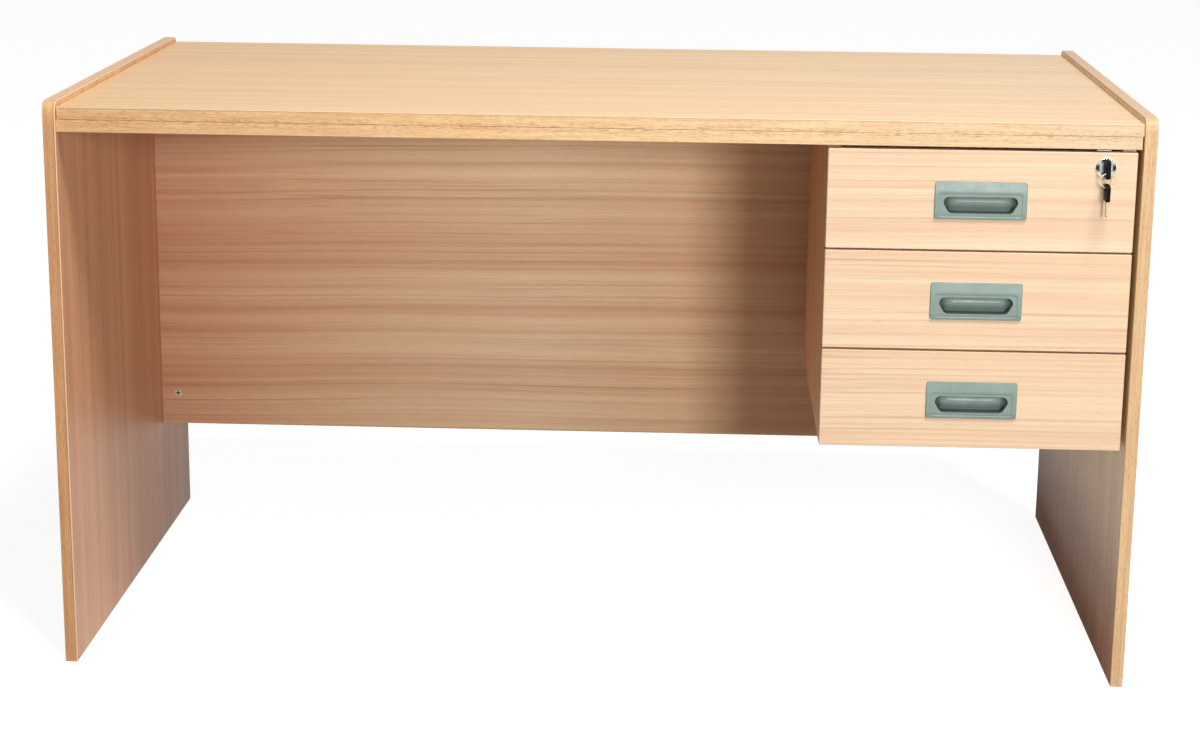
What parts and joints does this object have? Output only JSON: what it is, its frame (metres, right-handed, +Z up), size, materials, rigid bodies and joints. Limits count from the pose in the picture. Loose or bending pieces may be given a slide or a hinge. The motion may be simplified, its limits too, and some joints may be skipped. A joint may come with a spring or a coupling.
{
  "type": "desk",
  "caption": "Computer desk in pale wood-look board: slab sides, double-thick top, set-back modesty panel and a hanging pedestal of drawers with recessed pulls and a lock",
  "frame": {"origin": "on the floor, at the middle of the bottom of the overall bounding box, which the key and its ring reach out of at the front", "axes": "+X to the right as seen from the front, along the desk's width; -Y to the front, where the drawers open; +Z up"},
  "size_m": [1.4, 0.7756, 0.75],
  "materials": {
    "laminate": "warm pale maple-look laminate, satin, straight grain",
    "edge_band": "2 mm edge band printed to match the laminate",
    "drawer_board": "plain pale board, matte",
    "steel_slide": "zinc-plated pressed steel",
    "zinc_fitting": "bright zinc, satin",
    "beech_dowel": "raw beech",
    "sage_plastic": "grey-green moulded plastic, satin",
    "chrome_lock": "polished chrome plate",
    "key_steel": "nickel-plated, fine brushed",
    "black_plastic": "black moulded plastic, satin"
  },
  "bodies": {
    "desk": {"left_side_panel": "laminate", "right_side_panel": "laminate", "left_side_edge_band": "edge_band", "right_side_edge_band": "edge_band", "desktop_upper_board": "laminate", "desktop_lower_board": "laminate", "desktop_edge_bands": "edge_band", "modesty_panel": "laminate", "modesty_edge_band": "edge_band", "cam_locks": "zinc_fitting", "cam_bolts": "zinc_fitting", "wooden_dowels": "beech_dowel", "lamination_screws": "zinc_fitting", "lock_strike_plate": "zinc_fitting", "pedestal_left_side": "laminate", "pedestal_right_side": "laminate", "pedestal_bottom": "laminate", "pedestal_back": "drawer_board", "pedestal_rear_rail": "laminate", "pedestal_brackets": "zinc_fitting", "pedestal_screws": "zinc_fitting", "slide_screws": "zinc_fitting", "upper_cabinet_slides": "steel_slide", "middle_cabinet_slides": "steel_slide", "lower_cabinet_slides": "steel_slide"},
    "upper_drawer": {"upper_drawer_front": "laminate", "upper_drawer_handle": "sage_plastic", "upper_drawer_left_side": "drawer_board", "upper_drawer_right_side": "drawer_board", "upper_drawer_back": "drawer_board", "upper_drawer_bottom": "drawer_board", "upper_drawer_slides": "steel_slide", "upper_drawer_fixings": "zinc_fitting", "lock_housing": "chrome_lock"},
    "upper_cages": {"upper_ball_cages": "steel_slide"},
    "middle_drawer": {"middle_drawer_front": "laminate", "middle_drawer_handle": "sage_plastic", "middle_drawer_left_side": "drawer_board", "middle_drawer_right_side": "drawer_board", "middle_drawer_back": "drawer_board", "middle_drawer_bottom": "drawer_board", "middle_drawer_slides": "steel_slide", "middle_drawer_fixings": "zinc_fitting"},
    "middle_cages": {"middle_ball_cages": "steel_slide"},
    "lower_drawer": {"lower_drawer_front": "laminate", "lower_drawer_handle": "sage_plastic", "lower_drawer_left_side": "drawer_board", "lower_drawer_right_side": "drawer_board", "lower_drawer_back": "drawer_board", "lower_drawer_bottom": "drawer_board", "lower_drawer_slides": "steel_slide", "lower_drawer_fixings": "zinc_fitting"},
    "lower_cages": {"lower_ball_cages": "steel_slide"},
    "lock_plug": {"lock_plug": "chrome_lock"},
    "lock_bolt": {"lock_bolt": "zinc_fitting"},
    "key": {"key_blade": "key_steel", "key_bow": "black_plastic"},
    "key_ring": {"key_ring": "key_steel"},
    "spare_key": {"spare_key_blade": "key_steel", "spare_key_bow": "black_plastic"}
  },
  "joints": [
    {"name": "upper_drawer_slide", "type": "slide", "parent": "desk", "child": "upper_drawer", "axis": [0, -1, 0], "range_m": [0, 0.3]},
    {"name": "upper_cage_roll", "type": "slide", "parent": "desk", "child": "upper_cages", "axis": [0, -1, 0], "range_m": [0, 0.15]},
    {"name": "middle_drawer_slide", "type": "slide", "parent": "desk", "child": "middle_drawer", "axis": [0, -1, 0], "range_m": [0, 0.3]},
    {"name": "middle_cage_roll", "type": "slide", "parent": "desk", "child": "middle_cages", "axis": [0, -1, 0], "range_m": [0, 0.15]},
    {"name": "lower_drawer_slide", "type": "slide", "parent": "desk", "child": "lower_drawer", "axis": [0, -1, 0], "range_m": [0, 0.3]},
    {"name": "lower_cage_roll", "type": "slide", "parent": "desk", "child": "lower_cages", "axis": [0, -1, 0], "range_m": [0, 0.15]},
    {"name": "lock_turn", "type": "hinge", "parent": "upper_drawer", "child": "lock_plug", "pos_m": [0.6385, -0.35623, 0.6872], "axis": [0, 1, 0], "range_deg": [0, 90]},
    {"name": "lock_bolt_lift", "type": "slide", "parent": "upper_drawer", "child": "lock_bolt", "axis": [0, 0, 1], "range_m": [0, 0.00848]},
    {"name": "key_withdraw", "type": "slide", "parent": "lock_plug", "child": "key", "axis": [0, -1, 0], "range_m": [0, 0.018]},
    {"name": "key_ring_swing", "type": "hinge", "parent": "key", "child": "key_ring", "pos_m": [0.6385, -0.37602, 0.6839], "axis": [-1, 0, 0], "range_deg": [-5, 60]},
    {"name": "spare_key_swing", "type": "hinge", "parent": "key_ring", "child": "spare_key", "pos_m": [0.6385, -0.37602, 0.6651], "axis": [-1, 0, 0], "range_deg": [-5, 40]}
  ],
  "couplings": [
    {"joint": "upper_cage_roll", "follows": "upper_drawer_slide", "ratio": 0.5},
    {"joint": "middle_cage_roll", "follows": "middle_drawer_slide", "ratio": 0.5},
    {"joint": "lower_cage_roll", "follows": "lower_drawer_slide", "ratio": 0.5},
    {"joint": "lock_bolt_lift", "follows": "lock_turn", "m_per_rad": 0.0054019}
  ]
}
